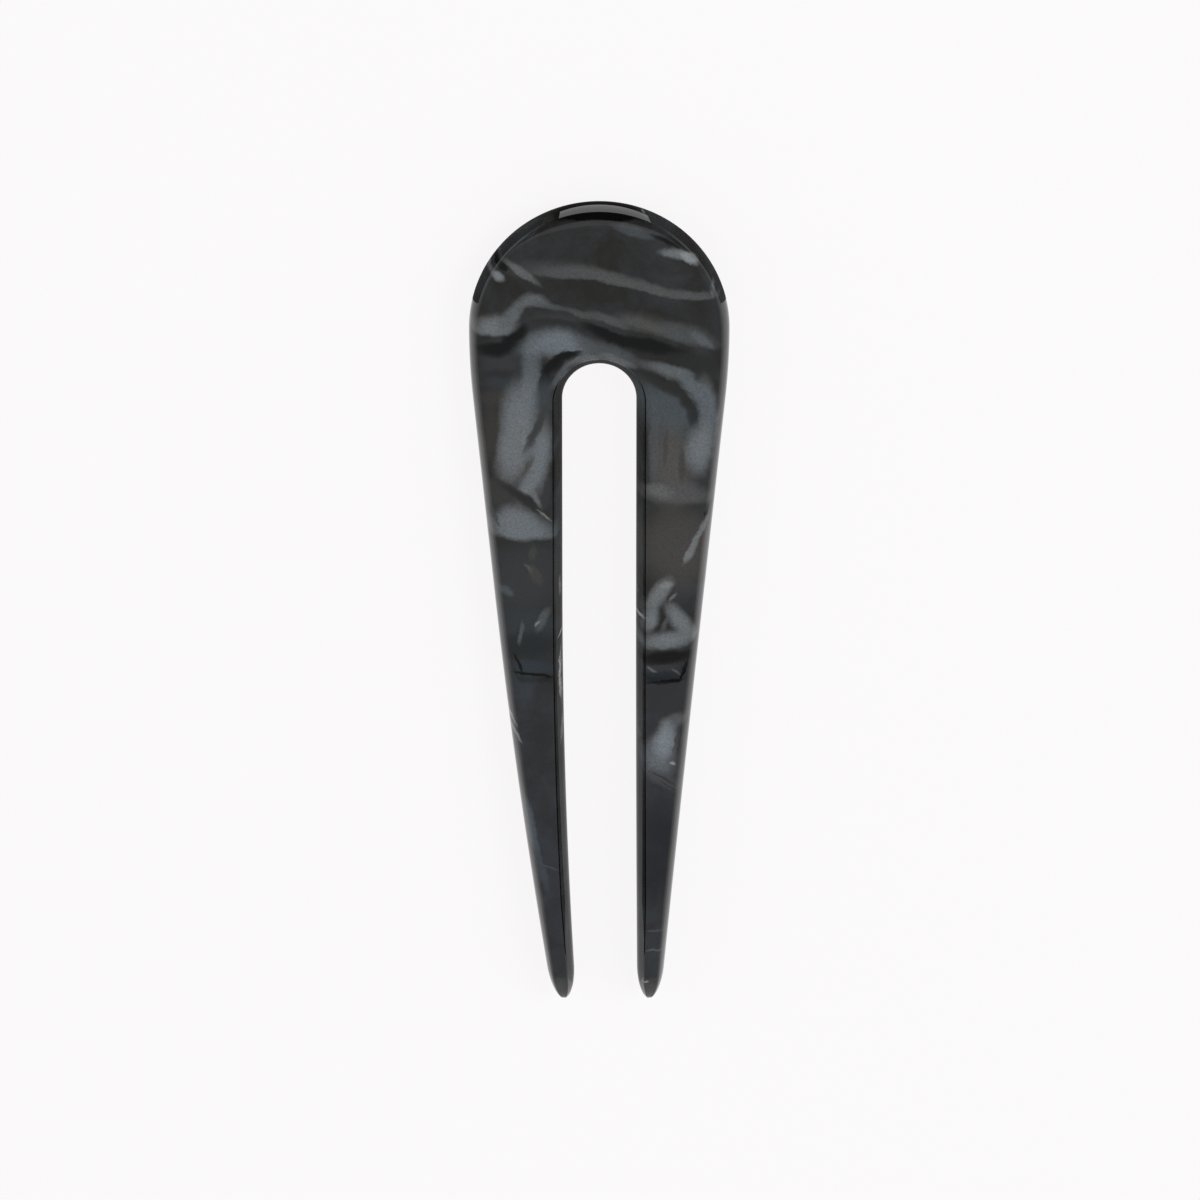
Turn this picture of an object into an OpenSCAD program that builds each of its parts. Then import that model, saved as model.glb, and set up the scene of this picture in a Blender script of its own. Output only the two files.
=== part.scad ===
// A two-pronged hair pin cut from thick acetate sheet: a round head, a slot with a round top,
// and two tapering prongs with pointed ends. It lies on its back face, with the head towards +Y.

/* [Overall] */
// Length from the top of the head to the tips of the prongs
pin_length = 114; // [95:1:140]
// Width of the round head where it is widest
head_width = 35.05; // [31:0.05:42]
// Thickness of the sheet that the pin is cut from
thickness = 5.5; // [5:0.1:8]

/* [Slot] */
// Width of the slot between the prongs
slot_width = 10; // [8:0.1:12]
// Solid height between the top of the slot and the top of the head
crown_height = 22.35; // [19:0.05:28]

/* [Prongs] */
// How much each outer edge closes in for every millimetre down the prong
outer_taper = 0.101; // [0.08:0.001:0.105]
// Stretch below the widest point where the head's curve eases into the straight edge
ease_length = 9.5; // [2:0.5:14]
// Length of the rounded point at the end of each prong
point_length = 4.8; // [3:0.1:9]
// Length over which the thickness rounds off towards each tip
nose_depth = 5; // [2:0.1:8]
// How far the left tip is set towards the slot
left_set = 1.8; // [0:0.1:2.5]
// How far the right tip is set away from the slot
right_set = 0.25; // [0:0.05:1]
// Length of the lower prong that curves to that set
set_length = 59; // [40:1:75]

/* [Polished edges] */
// Tilt of the bevel away from the flat face, in degrees
bevel_tilt = 57; // [50:1:65]
// Radius of the outer edge at the middle of the thickness
outer_radius = 4.5; // [2:0.05:4.5]
// Radius of the soft corner between the outer edge and the flat face
outer_corner = 0.55; // [0.1:0.05:0.65]
// Extra width of that corner at the top of the head, where the face rolls off more gently
crown_roll = 0.7; // [0:0.05:1]
// Angle from the top of the head at which the extra width has run out
crown_reach = 45; // [30:1:60]
// Radius of the slot's edge at the middle of the thickness
slot_edge_radius = 2.95; // [1:0.05:4]
// Radius of the soft corner between the slot's edge and the flat face
slot_corner = 0.3; // [0.1:0.05:0.6]

/* [Hidden] */

// Main levels of the outline along the pin, with its middle at Y = 0
tip_y = -pin_length / 2;
head_r = head_width / 2;
head_y = pin_length / 2 - head_r;
slot_r = slot_width / 2;
slot_y = pin_length / 2 - crown_height - slot_r;

// Steps of the mesh: round the head, down each prong, round each point, and over each edge
head_steps = 72;
prong_steps = 16;
point_steps = 9;
corner_tilts = [0, bevel_tilt / 3, 2 * bevel_tilt / 3, bevel_tilt];
round_tilts = [bevel_tilt, 74, 90, 106, 180 - bevel_tilt];
half_thickness = thickness / 2;

// Run of the straight bevel, which fills what the rounded middle and the corner leave of the height
function bevel_run(middle_r, corner_r) =
    (half_thickness - middle_r * cos(bevel_tilt) - corner_r * (1 - cos(bevel_tilt))) / sin(bevel_tilt);

// How far the rounded middle and the bevel reach into the face before the corner starts
function bevel_end(middle_r, corner_r) =
    middle_r * (1 - sin(bevel_tilt)) + bevel_run(middle_r, corner_r) * cos(bevel_tilt);

// Inset and height where the surface of the corner tilts by t from the flat face, with its extra width
function corner_spot(t, middle_r, corner_r, roll) = [
    bevel_end(middle_r, corner_r) + corner_r * (sin(bevel_tilt) - sin(t)) + roll * (1 - t / bevel_tilt),
    half_thickness - corner_r * (1 - cos(t))
];

// Whole edge from the front face to the back face, as pairs of inset and height
function edge_profile(middle_r, corner_r, roll = 0) =
    let (
        upper = [for (t = corner_tilts) corner_spot(t, middle_r, corner_r, roll)],
        middle = [for (t = round_tilts) [middle_r * (1 - sin(t)), middle_r * cos(t)]],
        lower = [for (i = [len(upper) - 1 : -1 : 0]) [upper[i][0], -upper[i][1]]]
    )
        concat(upper, middle, lower);

outer_profile = edge_profile(outer_radius, outer_corner);
function crown_profile(roll) = edge_profile(outer_radius, outer_corner, roll);
slot_profile = edge_profile(slot_edge_radius, slot_corner);
edge_depth = max(outer_profile[0][0], slot_profile[0][0]);
edge_count = len(outer_profile);
loop_count = 2 * edge_count;

// Outer edge of a straight prong: how far in it has come at a distance d below the widest point
function closing(d) = outer_taper * (d < ease_length ? d * d / (2 * ease_length) : d - ease_length / 2);
function closing_rate(d) = outer_taper * min(1, d / ease_length);
function outer_x(y) = head_r - closing(head_y - y);
function outer_way(y) = unit([1, -closing_rate(head_y - y)]);
function unit(v) = v / norm(v);

// Sideways set of a prong at height y, growing with the square of the distance below its start
function set_share(y) = pow(max(0, tip_y + set_length - y) / set_length, 2);

// Rounded point: share of the full width, and of the full thickness, at height y
function quarter_round(share) = sqrt(1 - pow(1 - min(1, share), 2));
function point_share(y) = quarter_round((y - tip_y) / point_length);
function nose_share(y) = quarter_round((y - tip_y) / nose_depth);

// One edge of a section: its profile, base point and way out of the solid, and the shares of inset and height
function edge_row(profile, base, way, inset_share, height_share) = [
    for (p = profile)
        let (spot = base - way * p[0] * inset_share)
            [spot[0], spot[1], half_thickness + p[1] * height_share]
];

// A whole section runs over the outer edge and comes back over the slot's edge
function section(profile, outer, outer_out, inner, inner_out, inset_share, height_share) =
    let (back = edge_row(slot_profile, inner, inner_out, inset_share, height_share))
        concat(
            edge_row(profile, outer, outer_out, inset_share, height_share),
            [for (i = [edge_count - 1 : -1 : 0]) back[i]]
        );

// Section across a prong at height y, on the right (side 1) or the left (side -1)
function prong_section(side, y, tip_set) =
    let (
        middle = side * (outer_x(y) + slot_r) / 2 + tip_set * set_share(y),
        half_width = (outer_x(y) - slot_r) / 2 * point_share(y),
        way = outer_way(y),
        inset_share = min(1, half_width / (1.05 * edge_depth))
    )
        section(
            outer_profile, [middle + side * half_width, y], [side * way[0], way[1]],
            [middle - side * half_width, y], [-side, 0],
            inset_share, nose_share(y)
        );

// Outline of the head at angle a round the slot: first up the eased edge, then round the arc
arc_start = atan2(head_y - slot_y, head_r);
function arc_angle(a) = 90 * (a - arc_start) / (90 - arc_start);
function rise_y(a) = slot_y + (head_y - slot_y) * a / arc_start;
function round_way(a) = [cos(a), sin(a)];
function head_point(a) =
    a < arc_start ? [outer_x(rise_y(a)), rise_y(a)] : [0, head_y] + head_r * round_way(arc_angle(a));
function head_way(a) = a < arc_start ? outer_way(rise_y(a)) : round_way(arc_angle(a));
function flip(v, side) = [side * v[0], v[1]];

// Share of the crown's extra roll, one at the top and nothing beyond its reach
function roll_share(a) =
    let (away = 90 * (90 - arc_angle(a)) / crown_reach) away < 90 ? pow(cos(away), 2) : 0;

// Section through the head at angle a from the right, up to 180 degrees on the left
function head_section(a) =
    let (side = a <= 90 ? 1 : -1, near = a <= 90 ? a : 180 - a)
        section(
            crown_profile(crown_roll * roll_share(near)), flip(head_point(near), side), flip(head_way(near), side),
            [0, slot_y] + slot_r * round_way(a), -round_way(a),
            1, 1
        );

// Heights of a prong's sections, from the tip upwards, closer together round the point
point_heights = [
    for (i = [1 : point_steps]) tip_y + point_length * (1 - cos(90 * i / point_steps))
];
prong_heights = [
    for (i = [1 : prong_steps - 1]) tip_y + point_length + (slot_y - tip_y - point_length) * i / prong_steps
];
heights = concat(point_heights, prong_heights);
height_count = len(heights);

// All sections in order: up the right prong, over the head, and down the left prong
sections = concat(
    [for (y = heights) prong_section(1, y, right_set)],
    [for (i = [0 : head_steps]) head_section(180 * i / head_steps)],
    [for (i = [height_count - 1 : -1 : 0]) prong_section(-1, heights[i], left_set)]
);
section_count = len(sections);

// The very tips, which close the two ends
function tip_point(side, tip_set) = [side * (outer_x(tip_y) + slot_r) / 2 + tip_set, tip_y, half_thickness];
pin_points = concat(
    [for (s = sections) for (p = s) p],
    [tip_point(1, right_set), tip_point(-1, left_set)]
);
right_tip = section_count * loop_count;
left_tip = right_tip + 1;
last_loop = (section_count - 1) * loop_count;

// Two triangles for each patch between neighbouring sections, and a fan at each tip
function next(i) = (i + 1) % loop_count;
wall_faces = [
    for (s = [0 : section_count - 2]) for (i = [0 : loop_count - 1])
        let (a = s * loop_count, b = a + loop_count)
            each [[a + i, b + i, b + next(i)], [a + i, b + next(i), a + next(i)]]
];
tip_faces = [
    for (i = [0 : loop_count - 1])
        each [[right_tip, i, next(i)], [left_tip, last_loop + next(i), last_loop + i]]
];

module hair_pin() {
    color([0.17, 0.18, 0.19]) polyhedron(points = pin_points, faces = concat(wall_faces, tip_faces));
}

hair_pin();
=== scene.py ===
# %% [markdown]
# A french hair pin, cut from one sheet of near-black acetate with pearly grey marbling.
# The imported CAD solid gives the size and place. This script gives the same form a finer skin,
# polishes it, and marbles it with brush strokes that are worked out in the material's nodes.

import bpy
import numpy as np
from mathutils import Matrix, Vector


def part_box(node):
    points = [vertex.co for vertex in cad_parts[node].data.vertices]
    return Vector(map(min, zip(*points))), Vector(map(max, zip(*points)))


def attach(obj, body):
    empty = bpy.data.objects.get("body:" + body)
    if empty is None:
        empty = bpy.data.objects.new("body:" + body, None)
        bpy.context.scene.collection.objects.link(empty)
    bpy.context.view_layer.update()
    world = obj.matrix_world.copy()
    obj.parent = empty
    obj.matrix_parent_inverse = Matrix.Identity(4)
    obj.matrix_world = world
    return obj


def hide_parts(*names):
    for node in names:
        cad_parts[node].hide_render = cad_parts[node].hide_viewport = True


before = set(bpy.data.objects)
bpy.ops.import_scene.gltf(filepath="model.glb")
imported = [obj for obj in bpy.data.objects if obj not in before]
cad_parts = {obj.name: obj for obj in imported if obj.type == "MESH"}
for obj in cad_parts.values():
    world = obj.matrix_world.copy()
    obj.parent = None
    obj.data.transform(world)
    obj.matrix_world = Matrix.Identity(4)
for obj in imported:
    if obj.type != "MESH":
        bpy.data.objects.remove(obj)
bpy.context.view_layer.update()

# %% [markdown]
# The driving sizes are kept in millimetres, because that is how a pin maker would read them.
# Length, width and thickness come from the CAD solid, so the skin can't drift away from it.

# %% Sizes of the pin, in millimetres
MM = 0.001
pin_low, pin_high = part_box("hair_pin")
pin_length = (pin_high.y - pin_low.y) / MM
head_width = (pin_high.x - pin_low.x) / MM
thickness = (pin_high.z - pin_low.z) / MM
slot_width = 10.0
crown_height = 22.35
outer_taper = 0.101
ease_length = 9.5
point_length = 4.8
nose_depth = 5.0
left_set = 1.8
right_set = 0.25
set_length = 59.0

tip_y = -pin_length / 2
head_r = head_width / 2
head_y = pin_length / 2 - head_r
slot_r = slot_width / 2
slot_y = pin_length / 2 - crown_height - slot_r
half_thickness = thickness / 2
print("head radius", round(head_r, 2), "slot radius", slot_r, "arch centre at", round(slot_y, 2))

# %% [markdown]
# The two edges are polished differently. The outer edge is a wide round of 4.5 mm radius that
# ends in a soft shoulder. The slot's edge is a tighter round, then a straight bevel and a crisp
# corner. A buffing wheel also takes a trace off the border of the face, so its last stretch
# rolls off by a degree or two. At the top of the head the shoulder is drawn out wider and dips
# by a fraction of a millimetre, which bends the dark crescent in the photo.
# Walking along a profile, the tilt of the surface falls from 90 degrees to nothing on the face.
# A few columns of the slot's profile are named as its seam, for a thin dark line further down.

# %% Edge profiles
bevel_tilt = np.radians(57.0)
outer_radius, outer_corner = 4.5, 0.55
slot_edge_radius, slot_corner = 2.95, 0.3
roll_tilt, roll_width = np.radians(1.5), 0.9
crown_roll, crown_reach, crown_dip = 0.7, 60.0, 0.17
corner_steps, middle_steps, roll_steps = 9, 10, 6
border_lap = 0.02
seam_columns = slice(roll_steps + 2, roll_steps + 7)


def edge_profile(middle_r, corner_r):
    """Insets and heights from the front face, over the edge, to the back face.

    A stretch of radius r between the tilts a and b moves inwards by r (sin b - sin a) and
    upwards by r (cos a - cos b), and the bevel runs straight at its own tilt between them.
    """
    roll_radius = roll_width / np.sin(roll_tilt)
    roll = np.linspace(0.0, roll_tilt, roll_steps)
    corner = np.linspace(roll_tilt, bevel_tilt, corner_steps)
    middle = np.linspace(bevel_tilt, np.pi / 2, middle_steps)
    roll_drop = roll_radius * (1 - np.cos(roll_tilt))
    corner_drop = corner_r * (np.cos(roll_tilt) - np.cos(bevel_tilt))
    bevel_high = half_thickness - roll_drop - corner_drop
    bevel_low = middle_r * np.cos(bevel_tilt)
    bevel_out = middle_r * (1 - np.sin(bevel_tilt)) + (bevel_high - bevel_low) / np.tan(bevel_tilt)
    corner_in = bevel_out + corner_r * (np.sin(bevel_tilt) - np.sin(corner))
    corner_up = bevel_high + corner_r * (np.cos(corner) - np.cos(bevel_tilt))
    roll_in = corner_in[0] + roll_radius * (np.sin(roll_tilt) - np.sin(roll))
    roll_up = half_thickness - roll_radius * (1 - np.cos(roll))
    inset = np.concatenate([[roll_in[0] + border_lap], roll_in[:-1], corner_in])
    inset = np.append(inset, middle_r * (1 - np.sin(middle)))
    height = np.concatenate([[half_thickness], roll_up[:-1], corner_up, middle_r * np.cos(middle)])
    return np.append(inset, inset[-2::-1]), np.append(height, -height[-2::-1])


outer_in, outer_up = edge_profile(outer_radius, outer_corner)
slot_in, slot_up = edge_profile(slot_edge_radius, slot_corner)
edge_depth = max(outer_in.max(), slot_in.max())

# the crown's roll moves the face's border by its whole width, and fades out down the corner
fade = np.concatenate([np.ones(roll_steps), np.linspace(1, 0, corner_steps), np.zeros(middle_steps)])
crown_share = np.append(fade, fade[-2::-1])

# the dip deepens over the border and down the corner, and is gone at the middle of the thickness
dip = np.concatenate([np.linspace(0, 0.5, roll_steps) ** 2, np.linspace(0.35, 1, corner_steps)])
dip = np.append(dip, np.cos(np.linspace(0, np.pi / 2, middle_steps)))
crown_drop = crown_dip / crown_roll * np.append(dip, -dip[-2::-1])
seam_share = np.zeros(roll_steps + corner_steps + middle_steps)
seam_share[seam_columns] = 1.0
seam_share = np.append(seam_share, seam_share[-2::-1])
print("outer edge", round(float(outer_in.max()), 2), "mm deep, slot edge", round(float(slot_in.max()), 2))

# %% [markdown]
# The outline comes from a few rules, the same ones as in the CAD source. The outer edge is an
# arc that eases into a straight taper, the slot is a half circle on two parallel walls, and the
# left prong is set a little towards the slot, as in the photo.

# %% Outline of the pin
edge_room = 1.05


def quarter_round(share):
    """Height of a quarter circle at a share of its width."""
    return np.sqrt(1 - (1 - np.clip(share, 0, 1)) ** 2)


def outer_edge(y):
    """X of the outer edge and its rate of closing in: a parabola that becomes a straight line."""
    down = head_y - y
    curved = down**2 / (2 * ease_length)
    closing = outer_taper * np.where(down < ease_length, curved, down - ease_length / 2)
    return head_r - closing, outer_taper * np.clip(down / ease_length, 0, 1)


def prong_rows(side, y, tip_set):
    """Base points and outward ways of both edges, and shares of inset and height, at heights y.

    The middle line is halfway between the edges plus a sideways set that grows with the
    square of the distance below its start, and the width is rounded off at the point.
    """
    outer_x, rate = outer_edge(y)
    set_share = (np.clip(tip_y + set_length - y, 0, None) / set_length) ** 2
    middle = side * (outer_x + slot_r) / 2 + tip_set * set_share
    half = (outer_x - slot_r) / 2 * quarter_round((y - tip_y) / point_length)
    outer = np.stack([middle + side * half, y], 1)
    inner = np.stack([middle - side * half, y], 1)
    outer_way = np.stack([side * np.ones_like(rate), -rate], 1) / np.hypot(1, rate)[:, None]
    inner_way = np.stack([-side * np.ones_like(rate), np.zeros_like(rate)], 1)
    inset_share = np.minimum(1, half / (edge_room * edge_depth))
    height_share = quarter_round((y - tip_y) / nose_depth)
    return outer, outer_way, inner, inner_way, inset_share, height_share


def head_rows(steps):
    """The same for the head, at angles a round the slot from the right to the left.

    Up to the angle where the arc starts, the outer point climbs the eased edge. From there it
    runs round the arc, while the inner point runs round the slot's half circle all the way.
    The crown's extra roll is the square of a cosine that reaches nothing at its reach.
    """
    a = np.linspace(0, np.pi, steps)
    near = np.minimum(a, np.pi - a)
    side = np.where(a <= np.pi / 2, 1.0, -1.0)
    start = np.arctan2(head_y - slot_y, head_r)
    rise = slot_y + (head_y - slot_y) * np.clip(near / start, 0, 1)
    edge_x, rate = outer_edge(rise)
    turn = np.clip((near - start) / (np.pi / 2 - start), 0, 1) * np.pi / 2
    on_arc = near > start
    x = np.where(on_arc, head_r * np.cos(turn), edge_x)
    y = np.where(on_arc, head_y + head_r * np.sin(turn), rise)
    way_x = np.where(on_arc, np.cos(turn), 1 / np.hypot(1, rate))
    way_y = np.where(on_arc, np.sin(turn), -rate / np.hypot(1, rate))
    inner_way = -np.stack([np.cos(a), np.sin(a)], 1)
    inner = np.array([0, slot_y]) - slot_r * inner_way
    whole = np.ones_like(a)
    outer = np.stack([side * x, y], 1)
    from_top = np.clip(90 - np.degrees(turn), 0, crown_reach)
    roll = crown_roll * np.cos(np.pi / 2 * from_top / crown_reach) ** 2
    return outer, np.stack([side * way_x, way_y], 1), inner, inner_way, whole, whole, roll


# %% [markdown]
# A section is a closed loop: over the outer edge from front to back, then over the slot's edge
# from back to front. Carrying it from one tip round the head to the other gives a grid. The
# corner of the slot's edge also carries a thin dark line, kept as a value on its points. It runs
# up the prongs, starts a little above the tips, and fades out as it goes round the arch.

# %% Skin of the pin


def loops(outer, outer_way, inner, inner_way, inset_share, height_share, roll=0.0):
    """Loops of points in metres: each edge point is its base minus inset times the outward way.

    On the head, the outer inset also grows by the crown's roll at each angle, and dips with it.
    """
    outer_inset = inset_share[:, None] * outer_in[None, :] + np.multiply.outer(roll, crown_share)
    slot_inset = inset_share[:, None] * slot_in[None, :]
    outer_height = half_thickness + height_share[:, None] * outer_up[None, :]
    outer_height = outer_height - np.multiply.outer(roll, crown_drop)
    slot_height = half_thickness + height_share[:, None] * slot_up[None, :]
    over = outer[:, None, :] - outer_way[:, None, :] * outer_inset[:, :, None]
    back = inner[:, None, :] - inner_way[:, None, :] * slot_inset[:, :, None]
    first = np.concatenate([over, outer_height[:, :, None]], 2)
    second = np.concatenate([back, slot_height[:, :, None]], 2)[:, ::-1]
    return np.concatenate([first, second], 1) * MM


point_steps, prong_steps, head_steps = 24, 150, 200
quarter = np.linspace(0, np.pi / 2, point_steps + 1)[1:]
point_y = tip_y + point_length * (1 - np.cos(quarter))
prong_y = np.linspace(point_y[-1], slot_y, prong_steps + 1)[1:-1]
climb = np.concatenate([point_y, prong_y])
right = loops(*prong_rows(1, climb, right_set))
head = loops(*head_rows(head_steps))
left = loops(*prong_rows(-1, climb[::-1], left_set))
rings = np.concatenate([right, head, left])
ring_count, loop_count = rings.shape[:2]

# angles round the arch in degrees, and heights in millimetres
seam_end, seam_fade, seam_foot = 50.0, 40.0, -50.0
head_angle = np.linspace(0, 180, head_steps)
head_seam = np.clip((seam_end - np.minimum(head_angle, 180 - head_angle)) / seam_fade, 0, 1)
climb_seam = np.clip(climb - seam_foot, 0, 1)
along_seam = np.concatenate([climb_seam, head_seam, climb_seam[::-1]])
across_seam = np.append(np.zeros(len(outer_in)), seam_share[::-1])
seam = np.multiply.outer(along_seam, across_seam)


def skin_mesh(name, rings):
    """Quads between neighbouring rings, and a fan from each end ring to the middle of its tip."""
    base = (np.arange(ring_count - 1) * loop_count)[:, None]
    i = np.arange(loop_count)[None, :]
    j = (i + 1) % loop_count
    quads = np.stack([base + i, base + j, base + loop_count + j, base + loop_count + i], -1)
    ends = [ring.mean(0) for ring in (rings[0], rings[-1])]
    for end in ends:
        end[1] = tip_y * MM
    points = np.concatenate([rings.reshape(-1, 3), ends])
    first_tip = ring_count * loop_count
    last = (ring_count - 1) * loop_count
    fan = [(first_tip, int(b), int(a)) for a, b in zip(i[0], j[0])]
    fan += [(first_tip + 1, last + int(a), last + int(b)) for a, b in zip(i[0], j[0])]
    mesh = bpy.data.meshes.new(name)
    mesh.from_pydata(points.tolist(), [], quads.reshape(-1, 4).tolist() + fan)
    mesh.validate()
    mesh.shade_smooth()
    line = mesh.attributes.new("seam", "FLOAT", "POINT")
    line.data.foreach_set("value", np.append(seam.ravel(), [0.0, 0.0]))
    return mesh


pin = bpy.data.objects.new("polished_pin", skin_mesh("polished_pin", rings))
bpy.context.scene.collection.objects.link(pin)
triangle_count = sum(len(p.vertices) - 2 for p in pin.data.polygons)
print("pin skin:", len(pin.data.vertices), "points,", triangle_count, "triangles")

# %% [markdown]
# Marbled acetate is made by stirring pearly chips into black stock and slicing the block. What
# shows on the face is a set of brush-like strokes: crisp on one side, fading on the other. One
# node group draws such a stroke, and it is placed again and again from a chart that was drawn
# beside the photo. The chart runs through the whole thickness, as the real figure does.

# %% Helpers for nodes


def node(tree, kind, feeds=(), **settings):
    """Adds a node, sets its settings, and feeds its inputs with numbers or with other outputs."""
    made = tree.nodes.new(kind)
    for name, value in settings.items():
        setattr(made, name, value)
    for name, value in dict(feeds).items():
        if isinstance(value, bpy.types.NodeSocket):
            tree.links.new(value, made.inputs[name])
        else:
            made.inputs[name].default_value = value
    return made


def calc(tree, operation, a, b=0.0, c=0.0):
    """Output of a Math node."""
    return node(tree, "ShaderNodeMath", {0: a, 1: b, 2: c}, operation=operation).outputs[0]


def smooth(tree, value, low, high, start=0.0, end=1.0):
    """Output that eases from start to end while the value goes from low to high."""
    feeds = {"Value": value, "From Min": low, "From Max": high, "To Min": start, "To Max": end}
    made = node(tree, "ShaderNodeMapRange", feeds, interpolation_type="SMOOTHSTEP")
    return made.outputs["Result"]


def blend(tree, share, a, b):
    """Output that moves from a to b by a share."""
    made = node(tree, "ShaderNodeMix", {"Factor": share, "A": a, "B": b}, data_type="FLOAT")
    return made.outputs["Result"]


# %% [markdown]
# The stroke works in its own frame: u runs along it from -1 to 1 and v across it. A bend lifts
# both ends by u squared. Each side has its own width, so a narrow side looks crisp and a wide
# one fades.

# %% Stroke group
stroke = bpy.data.node_groups.new("pearl_stroke", "ShaderNodeTree")
stroke_end = 1.15

# which column of the chart feeds each input of the group
STROKE_COLUMNS = {
    "Centre X": "x",
    "Centre Y": "y",
    "Half Length": "half",
    "Above": "above",
    "Below": "below",
    "Bend": "bend",
    "Cover": "cover",
}
for label in ("X", "Y", "Angle", *STROKE_COLUMNS):
    stroke.interface.new_socket(label, in_out="INPUT", socket_type="NodeSocketFloat")
stroke.interface.new_socket("Mask", in_out="OUTPUT", socket_type="NodeSocketFloat")
given = node(stroke, "NodeGroupInput").outputs
way_x = calc(stroke, "COSINE", given["Angle"])
way_y = calc(stroke, "SINE", given["Angle"])
from_x = calc(stroke, "SUBTRACT", given["X"], given["Centre X"])
from_y = calc(stroke, "SUBTRACT", given["Y"], given["Centre Y"])
along_x = calc(stroke, "MULTIPLY", from_x, way_x)
along = calc(stroke, "MULTIPLY_ADD", from_y, way_y, along_x)
across_y = calc(stroke, "MULTIPLY", from_y, way_x)
across_x = calc(stroke, "MULTIPLY", from_x, way_y)
across = calc(stroke, "SUBTRACT", across_y, across_x)
u_share = calc(stroke, "DIVIDE", along, given["Half Length"])
u_square = calc(stroke, "MULTIPLY", u_share, u_share)
bent = calc(stroke, "MULTIPLY", u_square, given["Bend"])
across = calc(stroke, "SUBTRACT", across, bent)
above = calc(stroke, "DIVIDE", across, given["Above"])
below = calc(stroke, "DIVIDE", across, given["Below"])
below = calc(stroke, "MULTIPLY", below, -1.0)
reach = calc(stroke, "MAXIMUM", above, below)
away = calc(stroke, "MULTIPLY_ADD", reach, reach, u_square)
mask = smooth(stroke, away, 0.0, stroke_end, 1.0, 0.0)
mask = calc(stroke, "MULTIPLY", mask, given["Cover"])
node(stroke, "NodeGroupOutput", {"Mask": mask})
print("stroke group:", len(stroke.nodes), "nodes")

# %% [markdown]
# The chart gives each stroke its middle, the angle it runs at, its half length, its widths above
# and below its crest, its bend, how well it covers, its shade and how cool it is. Lengths are in
# millimetres on the face. Later rows lie over earlier ones. Most rows are the marbling, but a few
# are painted reflections: dark strokes that deepen the crescent under the head's rim and draw the
# ends of the dark line across the prongs, and pale strokes that paint highlights on the head's
# left shoulder, on the rim and on a slot wall.

# %% Shades of the stock, from the darkest to the palest
SHADES = {
    "ink": 0.09,
    "night": 0.13,
    "dusk": 0.18,
    "slate": 0.215,
    "smoke": 0.245,
    "ash": 0.285,
    "mist": 0.33,
    "pearl": 0.375,
    "silver": 0.41,
    "flash": 0.46,
}
print("shades:", ", ".join(SHADES))

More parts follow.
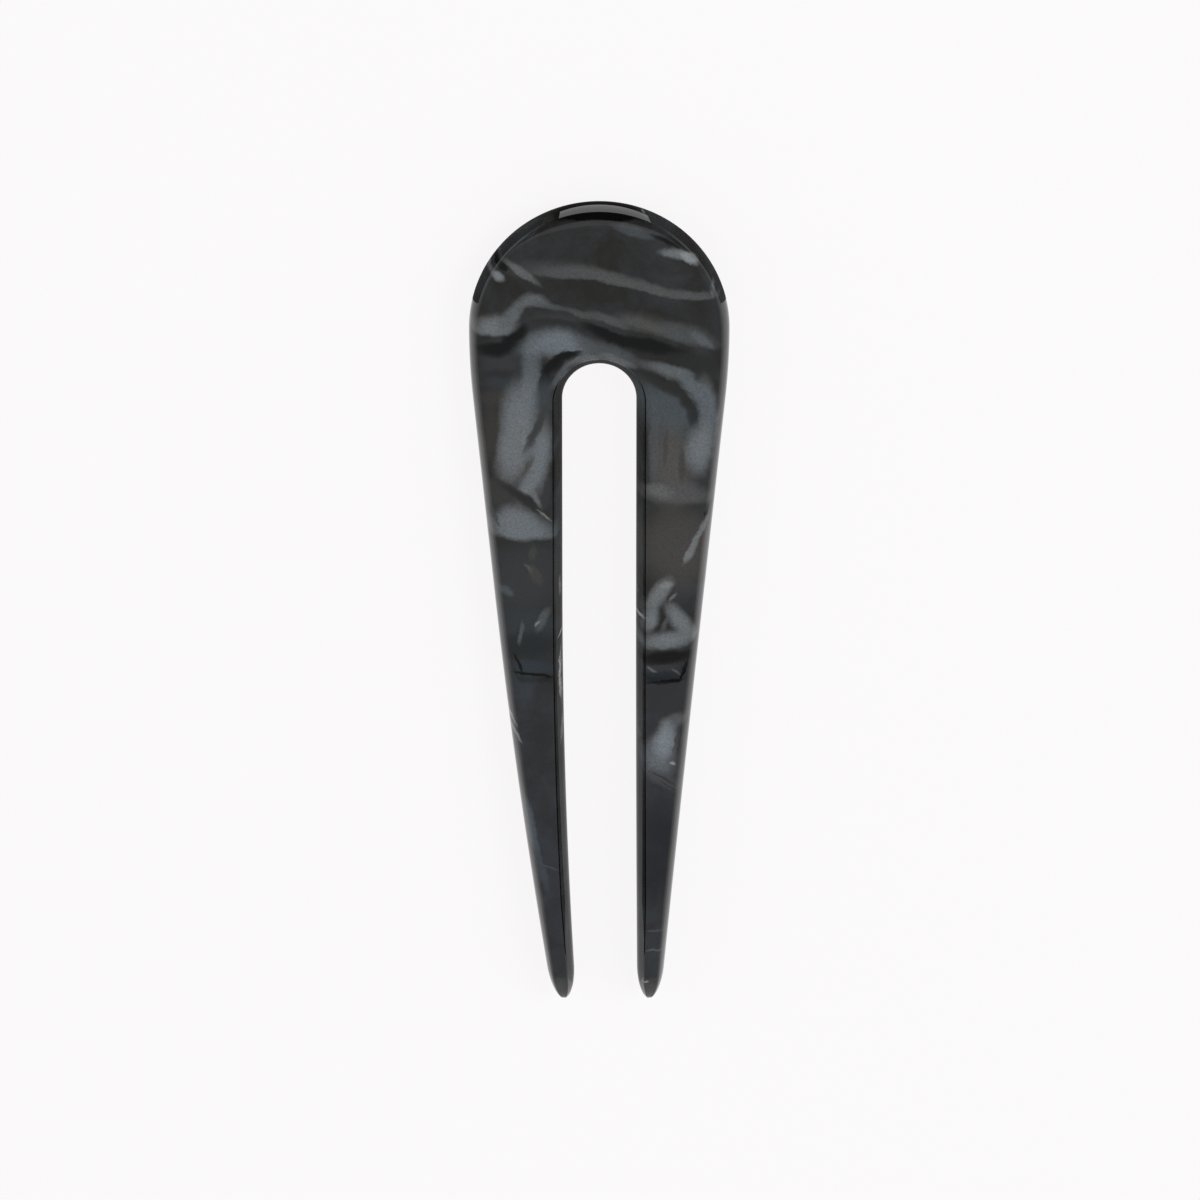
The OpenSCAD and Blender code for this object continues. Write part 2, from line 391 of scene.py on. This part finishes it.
# %% Chart of the strokes
CHART_COLUMNS = ("x", "y", "angle", "half", "above", "below", "bend", "cover", "shade", "cool")
HEAD = [
    # painted reflection: this dark stroke deepens the crescent under the head's rim, the tent's dark gap
    # mirrored
    (0.0, 55.9, 0, 6.6, 0.9, 0.7, -0.9, 0.95, "ink", 0.3),
    # painted highlight: this faint pale line along the head's left shoulder is the glint of a light at
    # the side
    (-9.4, 52.9, 38, 5.4, 0.14, 0.14, -0.6, 0.5, "smoke", 0.3),
    (-6.3, 48.1, -1, 7.0, 1.9, 1.1, 0.0, 0.8, "smoke", 0.4),
    (-3.2, 47.6, -3, 6.8, 1.6, 0.6, 0.0, 0.9, "ash", 0.5),
    (2.6, 46.6, -15, 6.6, 1.6, 0.6, -0.2, 1.0, "ash", 0.4),
    (7.8, 45.1, -14, 4.8, 1.1, 0.6, 0.2, 1.0, "ash", 0.3),
    (12.0, 44.6, -1, 5.0, 1.0, 0.6, 0.3, 1.0, "ash", 0.5),
    (15.2, 45.6, 84, 1.4, 0.4, 0.4, 0.0, 0.9, "mist", 0.7),
    (-10.4, 48.0, -40, 3.6, 0.8, 0.5, 0.0, 1.0, "mist", 0.5),
    (-12.9, 49.1, -45, 1.2, 0.5, 0.5, 0.0, 1.0, "ink", 0.2),
    (-13.4, 47.7, -40, 1.3, 0.7, 0.9, 0.0, 1.0, "silver", 0.7),
    (4.5, 53.7, -20, 3.6, 1.0, 0.7, 0.0, 0.75, "ash", 0.9),
    (9.0, 52.2, -26, 2.8, 0.5, 0.5, 0.0, 0.9, "night", 1.0),
    (10.4, 50.4, -10, 3.2, 0.9, 0.8, 0.0, 1.0, "pearl", 0.6),
    # painted highlight: this tiny pale spot on the rim is a glint
    (6.6, 55.2, -70, 0.4, 0.3, 0.3, 0.0, 0.9, "flash", 0.2),
    (12.0, 50.0, -30, 1.8, 0.9, 0.8, 0.0, 1.0, "flash", 0.6),
    (14.3, 46.9, -60, 2.4, 0.5, 0.35, 0.0, 0.7, "slate", 1.1),
    (-13.8, 35.8, 0, 3.4, 3.4, 3.0, 0.0, 0.7, "slate", 0.6),
    (-13.6, 37.6, 8, 3.6, 0.9, 1.6, 0.4, 1.0, "night", 1.0),
    (-11.4, 39.3, 40, 2.4, 0.9, 1.3, 0.0, 1.0, "night", 0.8),
    (-14.0, 39.9, 3, 3.6, 2.6, 1.0, 0.4, 1.0, "pearl", 0.6),
    (-11.7, 41.6, 50, 2.8, 1.4, 0.9, 0.0, 1.0, "mist", 0.6),
    (-9.0, 43.8, 6, 2.8, 1.4, 0.9, -0.5, 1.0, "mist", 0.6),
    (-6.8, 43.3, -8, 2.6, 0.7, 0.5, 0.0, 0.8, "ash", 0.6),
    (6.8, 40.2, -13, 6.4, 2.2, 1.0, 0.0, 0.9, "smoke", 0.2),
    (11.6, 39.0, -16, 5.4, 2.0, 1.0, 0.0, 0.8, "ash", 0.7),
    (13.8, 38.6, -30, 2.4, 0.8, 0.8, 0.0, 0.7, "mist", 0.7),
    (-4.8, 41.6, -4, 5.4, 0.8, 1.6, -0.8, 0.8, "slate", 0.2),
    (-5.4, 41.0, -6, 5.0, 0.6, 0.7, -0.8, 0.8, "dusk", 0.8),
    (1.4, 39.6, -22, 5.2, 0.6, 1.2, 0.0, 1.0, "night", 1.0),
    (6.8, 38.2, -12, 5.2, 0.8, 1.5, 0.0, 1.0, "night", 0.8),
    (12.9, 35.8, -16, 4.6, 0.9, 2.4, 0.0, 0.8, "dusk", 0.4),
    (-2.6, 42.3, -20, 3.2, 0.6, 0.5, 0.0, 0.8, "ash", 0.4),
    (1.2, 41.3, -22, 3.8, 0.9, 0.5, 0.0, 0.9, "ash", 0.3),
    (5.6, 40.6, -14, 4.0, 1.2, 0.5, 0.0, 0.7, "ash", 0.3),
    (-9.4, 33.6, 90, 6.4, 1.4, 1.9, 0.0, 0.9, "mist", 0.9),
    (-5.4, 38.1, -6, 6.2, 2.5, 2.6, -1.4, 1.0, "pearl", 0.9),
    (1.4, 37.0, -20, 6.0, 1.4, 1.8, 0.0, 0.9, "ash", 0.8),
    (9.6, 34.5, -18, 4.6, 1.0, 1.3, -0.3, 1.0, "mist", 0.7),
    (13.0, 31.8, -48, 4.2, 1.3, 1.6, 0.0, 1.0, "mist", 0.8),
    (14.9, 32.6, -22, 2.8, 0.9, 1.0, 0.0, 0.9, "dusk", 0.0),
    (-6.3, 35.5, 42, 2.6, 0.5, 1.5, 0.0, 1.0, "night", 0.8),
    (-4.2, 36.5, 10, 2.4, 0.4, 1.0, 0.0, 1.0, "night", 0.8),
    (-7.5, 33.0, 80, 2.4, 0.9, 1.0, 0.0, 1.0, "night", 1.0),
    (-5.2, 33.7, 54, 3.0, 0.7, 0.9, 0.0, 1.0, "ash", 0.9),
    (-1.8, 35.8, 14, 3.4, 0.6, 0.8, -0.4, 1.0, "mist", 0.7),
    (2.6, 35.8, -20, 3.0, 0.7, 0.9, 0.0, 1.0, "mist", 0.6),
]
LEFT_PRONG = [
    (-13.4, 34.0, 0, 3.0, 0.8, 0.8, 0.0, 0.7, "dusk", 0.7),
    (-13.4, 32.7, 0, 2.8, 0.9, 1.1, 0.0, 0.9, "slate", 1.1),
    (-13.8, 30.6, 0, 2.9, 1.4, 1.8, 0.0, 0.9, "slate", 0.0),
    (-7.6, 30.2, 88, 4.0, 1.4, 1.9, 0.0, 0.9, "smoke", 1.0),
    (-10.8, 27.2, 84, 7.4, 3.2, 2.9, 0.0, 1.0, "pearl", 0.8),
    (-11.4, 22.8, 82, 5.8, 3.0, 3.0, 0.0, 1.0, "pearl", 0.6),
    (-14.7, 25.5, 86, 5.6, 1.4, 1.2, 0.0, 0.9, "slate", 0.0),
    (-7.9, 22.4, 86, 6.4, 1.7, 2.0, 0.0, 1.0, "pearl", 0.8),
    (-8.6, 26.2, 66, 4.4, 0.6, 0.9, 0.0, 0.9, "slate", 0.4),
    (-9.4, 20.6, 66, 2.4, 0.5, 0.5, 0.0, 0.6, "smoke", 0.0),
    (-9.4, 18.2, 58, 3.8, 1.5, 1.2, 0.0, 1.0, "pearl", 0.7),
    (-13.6, 17.2, -34, 4.4, 1.9, 2.4, 0.0, 1.0, "slate", 0.2),
    (-7.1, 16.9, 76, 3.2, 0.6, 0.8, 0.0, 0.9, "slate", 0.5),
    (-8.6, 16.2, -68, 2.8, 0.7, 0.7, 0.0, 0.8, "pearl", 0.6),
    (-10.2, 5.2, 0, 6.4, 6.4, 8.0, 0.0, 1.0, "slate", 0.6),
    (-11.4, 13.0, -10, 3.6, 3.0, 2.6, 0.0, 1.0, "pearl", 0.8),
    (-10.3, 11.3, -3, 5.6, 3.4, 1.2, 0.3, 1.0, "pearl", 0.8),
    (-10.2, 16.4, -36, 5.0, 0.8, 0.9, 0.0, 1.0, "dusk", 0.3),
    (-7.5, 14.2, -37, 1.6, 0.22, 0.2, 0.0, 1.0, "pearl", 0.1),
    (-14.2, 13.8, -70, 2.0, 0.3, 0.3, 0.0, 0.8, "smoke", 0.8),
    (-9.0, 8.6, 80, 1.2, 0.7, 0.7, 0.0, 0.7, "smoke", 0.0),
    (-8.8, 5.6, -60, 2.0, 0.8, 0.8, 0.0, 0.8, "smoke", 0.0),
    (-9.6, 6.6, -50, 1.0, 0.3, 0.3, 0.0, 0.9, "ash", 0.2),
    (-12.6, 3.2, -30, 1.3, 0.8, 0.9, 0.0, 0.9, "ash", 1.0),
    (-9.6, -1.2, -12, 5.4, 2.0, 4.4, 0.0, 1.0, "slate", 1.0),
    (-9.4, -4.6, 0, 4.4, 2.6, 2.6, 0.0, 0.9, "dusk", 1.0),
    (-7.8, -0.9, 66, 2.2, 0.8, 0.9, 0.0, 1.0, "ash", 0.6),
    (-8.5, -1.5, 55, 0.6, 0.2, 0.2, 0.0, 1.0, "silver", 0.3),
    (-10.6, -2.7, 82, 2.0, 0.35, 0.35, 0.0, 1.0, "ash", 0.5),
    (-9.0, -7.7, -4, 4.0, 1.2, 1.3, 0.0, 0.9, "slate", 1.5),
    # painted reflection: these two dark strokes draw part of the dark line across the left prong and its
    # upturned end, the gap between the cards mirrored
    (-8.8, -8.9, -5, 3.0, 0.3, 0.25, 0.0, 1.0, "ink", 0.8),
    (-10.9, -7.3, -64, 2.0, 0.25, 0.25, 0.0, 0.7, "ink", 0.8),
    (-11.8, -14.8, -62, 1.6, 0.25, 0.4, 0.0, 1.0, "silver", 0.5),
    (-11.3, -17.3, -62, 1.7, 0.25, 0.35, 0.0, 1.0, "pearl", 0.6),
    (-9.3, -31.0, -76, 5.4, 0.7, 0.7, 0.0, 0.9, "ash", 1.3),
    (-7.9, -37.4, -76, 3.8, 0.7, 0.7, 0.0, 0.8, "smoke", 1.3),
    (-7.3, -36.6, -28, 2.2, 0.25, 0.25, 0.3, 0.9, "smoke", 0.8),
    (-5.1, 3.0, 88, 1.6, 0.3, 0.3, 0.0, 1.0, "mist", 0.0),
    (-5.0, -4.0, 30, 0.7, 0.25, 0.25, 0.0, 1.0, "flash", 0.3),
    # painted highlight: this pale streak on the slot's wall is a glint
    (-5.0, -9.6, 88, 4.4, 0.3, 0.3, 0.0, 1.0, "flash", 0.3),
    (-4.9, -17.5, 86, 2.4, 0.3, 0.3, 0.0, 1.0, "mist", 0.0),
]
RIGHT_PRONG = [
    (9.4, 29.2, -30, 6.4, 3.2, 4.6, 0.0, 0.9, "ash", 1.1),
    (14.6, 28.8, 98, 5.6, 1.5, 1.6, 0.0, 1.0, "mist", 0.9),
    (9.4, 32.4, -22, 3.6, 0.4, 1.3, 0.0, 0.9, "dusk", 0.3),
    (12.0, 30.4, -55, 3.0, 0.4, 1.4, 0.0, 1.0, "dusk", 0.4),
    (13.0, 27.8, -78, 2.2, 0.4, 1.2, 0.0, 0.9, "dusk", 0.8),
    (9.8, 20.8, 90, 7.6, 3.6, 3.8, 0.0, 0.9, "ash", 0.1),
    (7.4, 24.0, 90, 7.4, 0.9, 1.0, 0.0, 0.8, "ash", 0.6),
    (13.8, 23.4, 84, 4.6, 2.5, 2.0, 0.0, 1.0, "pearl", 0.7),
    (9.1, 23.2, 86, 3.2, 0.4, 0.5, 0.0, 0.5, "slate", 0.0),
    (11.2, 20.8, 86, 3.0, 0.5, 0.6, 0.0, 0.6, "slate", 0.2),
    (10.6, 9.8, 0, 6.6, 6.6, 8.4, 0.0, 1.0, "smoke", 0.1),
    (10.4, 16.7, -1, 6.0, 2.2, 1.5, 0.0, 1.0, "ash", 0.3),
    (8.2, 17.2, -12, 2.4, 1.2, 1.2, 0.0, 0.8, "mist", 0.4),
    (14.6, 14.6, 70, 1.4, 0.35, 0.35, 0.0, 1.0, "night", 0.3),
    (13.0, 10.5, 62, 4.4, 0.55, 0.55, 0.0, 1.0, "pearl", 0.5),
    (12.2, 8.7, 60, 1.8, 0.75, 0.7, 0.0, 1.0, "pearl", 0.5),
    (7.9, 2.6, 58, 3.6, 1.5, 1.4, 0.0, 1.0, "pearl", 0.6),
    (8.9, 4.1, 20, 1.2, 0.6, 0.7, 0.0, 1.0, "silver", 0.5),
    (7.0, -0.9, 80, 2.3, 1.2, 1.2, 0.0, 1.0, "pearl", 0.7),
    (10.9, -1.0, -50, 3.9, 1.6, 1.5, 0.0, 1.0, "pearl", 0.6),
    (9.8, 2.3, 60, 0.9, 0.3, 0.3, 0.0, 1.0, "mist", 0.5),
    (9.4, -3.9, 7, 4.6, 1.8, 1.3, 0.0, 1.0, "pearl", 0.7),
    (8.9, -1.4, 75, 1.5, 0.4, 0.5, 0.0, 0.8, "ash", 0.5),
    (9.4, -6.1, 6, 4.6, 1.0, 1.4, 0.0, 1.0, "night", 0.1),
    (8.6, -7.8, 0, 3.0, 0.6, 0.8, 0.0, 0.9, "slate", 1.0),
    (9.3, -9.0, 0, 3.6, 0.8, 1.0, 0.0, 1.0, "dusk", 1.2),
    # painted reflection: these two dark strokes draw part of the dark line across the right prong and its
    # upturned end, the gap between the cards mirrored
    (9.2, -9.9, 2, 3.0, 0.3, 0.3, 0.3, 1.0, "ink", 0.8),
    (11.7, -8.3, 72, 1.9, 0.25, 0.25, 0.0, 0.9, "ink", 0.8),
    (7.3, -8.0, -30, 1.0, 0.25, 0.25, 0.0, 1.0, "mist", 0.6),
    (10.6, -8.4, -38, 1.0, 0.25, 0.25, 0.0, 1.0, "ash", 0.6),
    (9.6, -12.6, 0, 4.6, 3.0, 3.0, 0.0, 0.8, "dusk", 0.0),
    (10.2, -15.2, 20, 2.4, 1.1, 1.4, 0.0, 1.0, "ash", 0.4),
    (8.2, -20.6, 90, 4.0, 2.5, 2.8, 0.0, 1.0, "mist", 0.7),
    (9.0, -18.2, 80, 3.4, 1.7, 2.0, 0.0, 1.0, "silver", 0.8),
    (10.6, -18.0, 76, 2.6, 0.25, 0.3, 0.0, 0.8, "slate", 0.4),
    (9.0, -24.2, -32, 3.2, 1.3, 1.3, 0.0, 0.8, "smoke", 0.4),
    (8.7, -23.8, -32, 2.4, 0.2, 0.2, 0.0, 0.8, "dusk", 0.3),
    (9.5, -25.0, -32, 1.8, 0.2, 0.2, 0.0, 0.8, "dusk", 0.3),
    (10.0, -21.7, 0, 0.4, 0.3, 0.3, 0.0, 1.0, "flash", 0.3),
    (8.0, -35.0, 87, 9.0, 3.4, 3.4, 0.0, 0.6, "night", 0.4),
    (7.7, -46.2, 0, 1.7, 0.2, 0.2, 0.0, 1.0, "smoke", 0.6),
    (7.6, -49.0, 2, 1.5, 0.2, 0.2, 0.0, 1.0, "ash", 0.6),
    (5.2, 2.6, 92, 1.8, 0.35, 0.35, 0.0, 1.0, "mist", 0.2),
    (5.7, -1.1, 20, 1.0, 0.35, 0.35, 0.0, 1.0, "flash", 0.3),
    (5.5, -19.0, 90, 6.0, 0.4, 0.4, 0.0, 0.9, "ash", 0.0),
    (6.7, -53.8, 20, 0.5, 0.25, 0.25, 0.0, 1.0, "silver", 0.4),
]
CHART = [dict(zip(CHART_COLUMNS, row)) for row in HEAD + LEFT_PRONG + RIGHT_PRONG]
print("chart:", len(CHART), "strokes")

# %% [markdown]
# Before the strokes are drawn, their plane is stirred. A slow noise drifts the lines by half a
# millimetre and a fine one frays their edges. Deeper in the sheet the drift grows, so the sides
# and the back show the same figure a little moved, as in a real slice.

# %% Material: the stirred plane
LEAN_X, LEAN_Y = 0.25, -0.4
acetate = bpy.data.materials.new("marbled_acetate")
acetate.use_nodes = True
tree = acetate.node_tree
shader = tree.nodes["Principled BSDF"]
place = node(tree, "ShaderNodeTexCoord").outputs["Object"]
place = node(tree, "ShaderNodeVectorMath", {0: place, "Scale": 1 / MM}, operation="SCALE").outputs[0]
apart = node(tree, "ShaderNodeSeparateXYZ", {0: place}).outputs
depth = calc(tree, "SUBTRACT", thickness, apart["Z"])
drift_x = calc(tree, "MULTIPLY_ADD", depth, LEAN_X, apart["X"])
drift_y = calc(tree, "MULTIPLY_ADD", depth, LEAN_Y, apart["Y"])
layered = {"X": drift_x, "Y": drift_y, "Z": apart["Z"]}
drifted = node(tree, "ShaderNodeCombineXYZ", layered).outputs[0]


def stir(point, scale, size, detail):
    """Moves a point by noise: its colour less one half is a way, and size is in millimetres."""
    feeds = {"Vector": point, "Scale": scale, "Detail": detail, "Roughness": 0.55}
    colour = node(tree, "ShaderNodeTexNoise", feeds).outputs["Color"]
    half = {0: colour, 1: (0.5, 0.5, 0.5)}
    way = node(tree, "ShaderNodeVectorMath", half, operation="SUBTRACT").outputs[0]
    step = node(tree, "ShaderNodeVectorMath", {0: way, "Scale": size}, operation="SCALE").outputs[0]
    return node(tree, "ShaderNodeVectorMath", {0: point, 1: step}, operation="ADD").outputs[0]


waved = stir(drifted, scale=0.13, size=1.2, detail=1.0)
stirred = stir(waved, scale=0.9, size=0.7, detail=3.0)
print("stirred plane:", len(tree.nodes), "nodes so far")

# %% Material: paint the strokes one over another
darkest_stock, palest_stock = 0.17, 0.21
warm_end, cool_end = 0.1, 0.7
cloud_feeds = {"Vector": stirred, "Scale": 0.16, "Detail": 4.0, "Roughness": 0.6, "Distortion": 0.6}
cloud = node(tree, "ShaderNodeTexNoise", cloud_feeds).outputs["Fac"]
shade = smooth(tree, cloud, 0.3, 0.75, darkest_stock, palest_stock)
cool = smooth(tree, cloud, 0.35, 0.65, warm_end, cool_end)
spot = node(tree, "ShaderNodeSeparateXYZ", {0: stirred}).outputs
for row in CHART:
    feeds = {label: row[column] for label, column in STROKE_COLUMNS.items()}
    feeds.update({"X": spot["X"], "Y": spot["Y"], "Angle": np.radians(row["angle"])})
    mask = node(tree, "ShaderNodeGroup", feeds, node_tree=stroke).outputs["Mask"]
    shade = blend(tree, mask, shade, SHADES[row["shade"]])
    cool = blend(tree, mask, cool, row["cool"])
print("painted:", len(tree.nodes), "nodes so far")

# %% [markdown]
# Pearl is fish-scale or mica, so it has a grain. The shade is what the eye should read, and the
# clear gloss on top already sends back part of it. So the shade becomes light, the gloss's part
# is taken off, and what is left is the colour of the stock below, tinted cool or warm. The dark
# line at the slot's corner keeps almost no colour and no shine.

# %% Material: grain, tint and gloss
GRAIN_DEPTH = 0.11
SHADE_POWER = 2.2
GLOSS_PART = 0.01
LEAST_STOCK, STOCK_GAIN = 0.002, 1.8
SEAM_KEPT = 0.05
WARM, COOL = (1.05, 1.0, 0.92, 1), (0.83, 1.0, 1.14, 1)
grain_feeds = {"Vector": stirred, "Scale": 3.6, "Detail": 5.0, "Roughness": 0.75}
grain = node(tree, "ShaderNodeTexNoise", grain_feeds).outputs["Fac"]
grain = smooth(tree, grain, 0.25, 0.75, -GRAIN_DEPTH, GRAIN_DEPTH)
grain = calc(tree, "MULTIPLY", grain, smooth(tree, shade, 0.2, 0.32, 0.3, 1.0))
shade = calc(tree, "MULTIPLY_ADD", shade, grain, shade)
light = calc(tree, "POWER", shade, SHADE_POWER)
stock = calc(tree, "SUBTRACT", light, GLOSS_PART)
stock = calc(tree, "MAXIMUM", stock, LEAST_STOCK)
stock = calc(tree, "MULTIPLY", stock, STOCK_GAIN)
seam_line = node(tree, "ShaderNodeAttribute", attribute_name="seam").outputs["Fac"]
kept = smooth(tree, seam_line, 0.0, 0.8, 1.0, SEAM_KEPT)
stock = calc(tree, "MULTIPLY", stock, kept)
tree.links.new(calc(tree, "MULTIPLY", kept, 0.5), shader.inputs["Specular IOR Level"])

# inputs 6 and 7 of a colour mix are its two colours, and output 2 is its result
tint_feeds = {"Factor": cool, 6: WARM, 7: COOL}
tint = node(tree, "ShaderNodeMix", tint_feeds, data_type="RGBA", clamp_factor=False).outputs[2]
colour_feeds = {0: tint, "Scale": stock}
colour = node(tree, "ShaderNodeVectorMath", colour_feeds, operation="SCALE").outputs[0]
tree.links.new(colour, shader.inputs["Base Color"])
shader.inputs["Roughness"].default_value = 0.02
shader.inputs["IOR"].default_value = 1.5
pin.data.materials.append(acetate)
print("stock, tint and gloss:", len(tree.nodes), "nodes so far")

# %% [markdown]
# A buffing wheel never leaves a face quite flat. A slow noise of a few thousandths of a millimetre
# bends the reflections a little, which a mirror-flat face would not do.

# %% Material: the faint swell that polishing leaves
swell_feeds = {"Vector": place, "Scale": 0.12, "Detail": 1.0}
swell = node(tree, "ShaderNodeTexNoise", swell_feeds).outputs["Fac"]
bump_feeds = {"Height": swell, "Strength": 0.2, "Distance": 0.000004}
bump = node(tree, "ShaderNodeBump", bump_feeds).outputs["Normal"]
tree.links.new(bump, shader.inputs["Normal"])
print("acetate:", len(tree.nodes), "nodes")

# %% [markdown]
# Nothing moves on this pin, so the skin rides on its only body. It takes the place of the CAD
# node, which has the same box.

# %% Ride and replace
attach(pin, "root")
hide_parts("hair_pin")
print(pin.name, "replaces hair_pin")

# %% [markdown]
# The photo stands the pin on a white sweep. Here it lies on a plain white floor, and its edges
# mirror that floor as they mirror the sweep. The paper glows by itself, which keeps it evenly
# white up to the horizon.

# %% Floor
floor_half = 4.0
PAPER_BASE, PAPER_GLOW = (0.1, 0.1, 0.1, 1), (0.99, 0.975, 0.982, 1)
floor_mesh = bpy.data.meshes.new("floor")
corners = [(-floor_half, -floor_half, 0), (floor_half, -floor_half, 0)]
corners += [(floor_half, floor_half, 0), (-floor_half, floor_half, 0)]
floor_mesh.from_pydata(corners, [], [(0, 1, 2, 3)])
floor = bpy.data.objects.new("floor", floor_mesh)
bpy.context.scene.collection.objects.link(floor)
paper = bpy.data.materials.new("paper")
paper.use_nodes = True
paper_shader = paper.node_tree.nodes["Principled BSDF"]
paper_shader.inputs["Base Color"].default_value = PAPER_BASE
paper_shader.inputs["Emission Color"].default_value = PAPER_GLOW
paper_shader.inputs["Emission Strength"].default_value = 0.9
paper_shader.inputs["Roughness"].default_value = 0.9
paper_shader.inputs["Specular IOR Level"].default_value = 0.0
floor_mesh.materials.append(paper)
print("floor:", 2 * floor_half, "metres square")

# %% [markdown]
# The room is a soft white tent, dimmer overhead, with a dark gap on the camera's side where the
# photographer stands. The gap is what draws the black crescent under the head's rim. It starts
# straight overhead and reaches 30 degrees to each side, and angles are worked out in degrees.

# %% Tent of light
SIDE_LIGHT, TOP_LIGHT = 1.05, 0.62
GAP_DARK = 0.97
gap_start, gap_full = -2.0, 3.0
gap_reach, gap_out = 30.0, 42.0
world = bpy.data.worlds.new("studio")
bpy.context.scene.world = world
world.use_nodes = True
tent = world.node_tree
ray = node(tent, "ShaderNodeTexCoord").outputs["Generated"]
ray = node(tent, "ShaderNodeSeparateXYZ", {0: ray}).outputs
level = smooth(tent, ray["Z"], 0.5, 0.9, SIDE_LIGHT, TOP_LIGHT)
toward = calc(tent, "ARCTAN2", ray["Y"], ray["Z"])
toward = calc(tent, "MULTIPLY", toward, 180 / np.pi)
sideways = calc(tent, "ARCSINE", ray["X"])
sideways = calc(tent, "MULTIPLY", sideways, 180 / np.pi)
sideways = calc(tent, "ABSOLUTE", sideways)
gap = smooth(tent, toward, gap_start, gap_full)
gap_side = smooth(tent, sideways, gap_reach, gap_out, 1.0, 0.0)
gap = calc(tent, "MULTIPLY", gap, gap_side)
gap = calc(tent, "MULTIPLY_ADD", gap, -GAP_DARK, 1.0)
level = calc(tent, "MULTIPLY", level, gap)
tent.links.new(level, tent.nodes["Background"].inputs["Strength"])
tent.nodes["Background"].inputs["Color"].default_value = (1, 0.995, 0.998, 1)
print("tent:", len(tent.nodes), "nodes")

# %% [markdown]
# Two pale cards hang overhead and only show as reflections. The flat face mirrors both: the dim
# one from the head down to the middle, and the cooler, brighter one in the lower prongs. The thin
# dark gap between them is the line that crosses the prongs in the photo. Three more lie on the
# floor: a dark one beyond the head, a bright fan that lights the top of the rim, and a dark one
# in the slot, where the real walls mirror each other, which grows lighter towards the tips.

# %% Cards


def card(name, corners, height, far_light, near_light, tint=(1.0, 1.0, 1.0)):
    """Glowing four-sided card, corners in millimetres, seen only in glossy reflections.

    Its light eases from the far value at its +Y end to the near one at its -Y end.
    """
    mesh = bpy.data.meshes.new(name)
    mesh.from_pydata([(x * MM, y * MM, height * MM) for x, y in corners], [], [(0, 1, 2, 3)])
    made = bpy.data.objects.new(name, mesh)
    bpy.context.scene.collection.objects.link(made)
    glow = bpy.data.materials.new(name)
    glow.use_nodes = True
    glow_shader = glow.node_tree.nodes["Principled BSDF"]
    glow_shader.inputs["Base Color"].default_value = (0, 0, 0, 1)
    glow_shader.inputs["Specular IOR Level"].default_value = 0.0
    glow_shader.inputs["Emission Color"].default_value = (*tint, 1)
    place = node(glow.node_tree, "ShaderNodeTexCoord").outputs["Object"]
    place = node(glow.node_tree, "ShaderNodeSeparateXYZ", {0: place}).outputs
    ends = [y * MM for _, y in corners]
    light = smooth(glow.node_tree, place["Y"], min(ends), max(ends), near_light, far_light)
    glow.node_tree.links.new(light, glow_shader.inputs["Emission Strength"])
    mesh.materials.append(glow)
    made.visible_camera = False
    made.visible_diffuse = False
    made.visible_shadow = False
    made.visible_transmission = False
    print(name, "glows with", far_light, "to", near_light)


def oblong(left, low, right, high):
    """Corners of an upright rectangle."""
    return [(left, low), (left, high), (right, high), (right, low)]


COOL_LIGHT = (0.87, 0.96, 1.16)
half_card, card_height = 130, 505.5
upper_end, lower_end = -181.4, -182.5
card("upper_card", oblong(-half_card, upper_end, half_card, -30), card_height, 0.255, 0.255)
card("dark_gap", oblong(-half_card, lower_end, half_card, upper_end), card_height, 0.0, 0.0)
card("lower_card", oblong(-half_card, -430, half_card, lower_end), card_height, 0.45, 0.45, COOL_LIGHT)
card("head_flag", oblong(-400, 43, 400, 500), 0.2, 0.06, 0.06)
card("slot_flag", oblong(-6.3, -57, 6.3, 34), 0.2, 0.12, 0.6)
card("rim_fan", [(-7, 60), (-162, 400), (230, 400), (9, 60)], 0.4, 2.1, 2.1)

# %% [markdown]
# One soft light from the upper right wakes the pearl. It is kept out of the reflections, so that
# the polish shows the cards and the tent alone.

# %% Key light
key_side, key_power = 0.7, 6.0
key_place = (0.9, 0.35, 1.1)
key_data = bpy.data.lights.new("key", "AREA")
key_data.shape = "RECTANGLE"
key_data.size = key_side
key_data.size_y = key_side
key_data.energy = key_power
key = bpy.data.objects.new("key", key_data)
key.location = key_place
key.rotation_euler = Vector(key.location).to_track_quat("Z", "Y").to_euler()
key.visible_glossy = False
bpy.context.scene.collection.objects.link(key)
print("key light:", key_power, "watts,", key_side, "metres square")

# %% [markdown]
# The photo sees the face 18.4 degrees off its normal, from the head's side. A camera one metre
# away with a long lens keeps the prongs' perspective as slight as it is there.

# %% Camera
SENSOR = 36.0
camera_tilt = np.radians(18.4)
camera_distance = 1.0
picture_width = 163.7 * MM

# a tenth of a millimetre off the middle, which lays the outline on the photo's
aim = Vector((0.0001, 0.00004, 0))
away = Vector((0, np.sin(camera_tilt), np.cos(camera_tilt)))
camera_data = bpy.data.cameras.new("camera")
camera_data.sensor_width = SENSOR
camera_data.lens = SENSOR * camera_distance / picture_width
camera = bpy.data.objects.new("camera", camera_data)
camera.location = aim + away * camera_distance
camera.rotation_euler = (-camera_tilt, 0, 0)
bpy.context.scene.collection.objects.link(camera)
bpy.context.scene.camera = camera
bpy.context.scene.view_settings.view_transform = "Standard"
print("camera:", round(camera_data.lens, 1), "mm lens,", camera_distance, "metre away")
